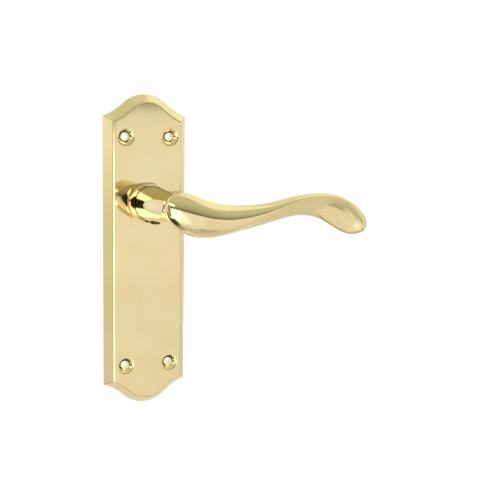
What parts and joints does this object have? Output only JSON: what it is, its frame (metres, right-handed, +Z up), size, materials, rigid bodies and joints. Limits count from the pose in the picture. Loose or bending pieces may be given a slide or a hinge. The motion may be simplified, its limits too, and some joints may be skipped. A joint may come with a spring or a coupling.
{
  "type": "lever door handle on backplate",
  "caption": "Sprung lever door handle on a long ogee-ended backplate with bevelled edge, round neck boss, S-shaped lever and a concealed return-spring unit.",
  "frame": {"origin": "on the spindle axis in the plane of the door's face", "axes": "+X along the lever, +Y into the door along the spindle axis, +Z up; the front faces -Y"},
  "size_m": [0.1167, 0.0544, 0.15],
  "materials": {
    "plate_brass": "mirror-polished and lacquered",
    "lever_brass": "mirror-polished and lacquered",
    "bush_nylon": "moulded",
    "blackened_steel": "blackened, lightly oiled",
    "cast_zinc": "as cast",
    "plated_steel": "bright zinc plate",
    "screw_steel": "bright zinc plate",
    "washer_nylon": "natural nylon",
    "cam_steel": "stamped and tumbled",
    "spring_steel": "oiled spring steel"
  },
  "bodies": {
    "plate": {"backplate": "plate_brass", "neck_bush": "bush_nylon", "spring_housing": "cast_zinc", "housing_cover": "plated_steel", "cover_screws": "screw_steel", "slip_washer": "washer_nylon", "return_spring": "spring_steel", "balance_spring": "spring_steel", "rest_stop_pin": "cam_steel", "travel_stop_pin": "cam_steel"},
    "lever": {"lever_handle": "lever_brass", "grub_screw": "blackened_steel", "drive_cam": "cam_steel", "return_spring_shoe": "washer_nylon", "balance_spring_shoe": "washer_nylon", "disc_spring": "spring_steel", "shank_washer": "plated_steel", "shank_circlip": "spring_steel"}
  },
  "joints": [
    {"name": "lever_turn", "type": "hinge", "parent": "plate", "child": "lever", "pos_m": [0, 0, 0], "axis": [0, 1, 0], "range_deg": [0, 50], "stiffness_Nm_per_rad": 0.6, "springref_deg": -20.05, "deforming": ["return_spring", "balance_spring"]}
  ]
}
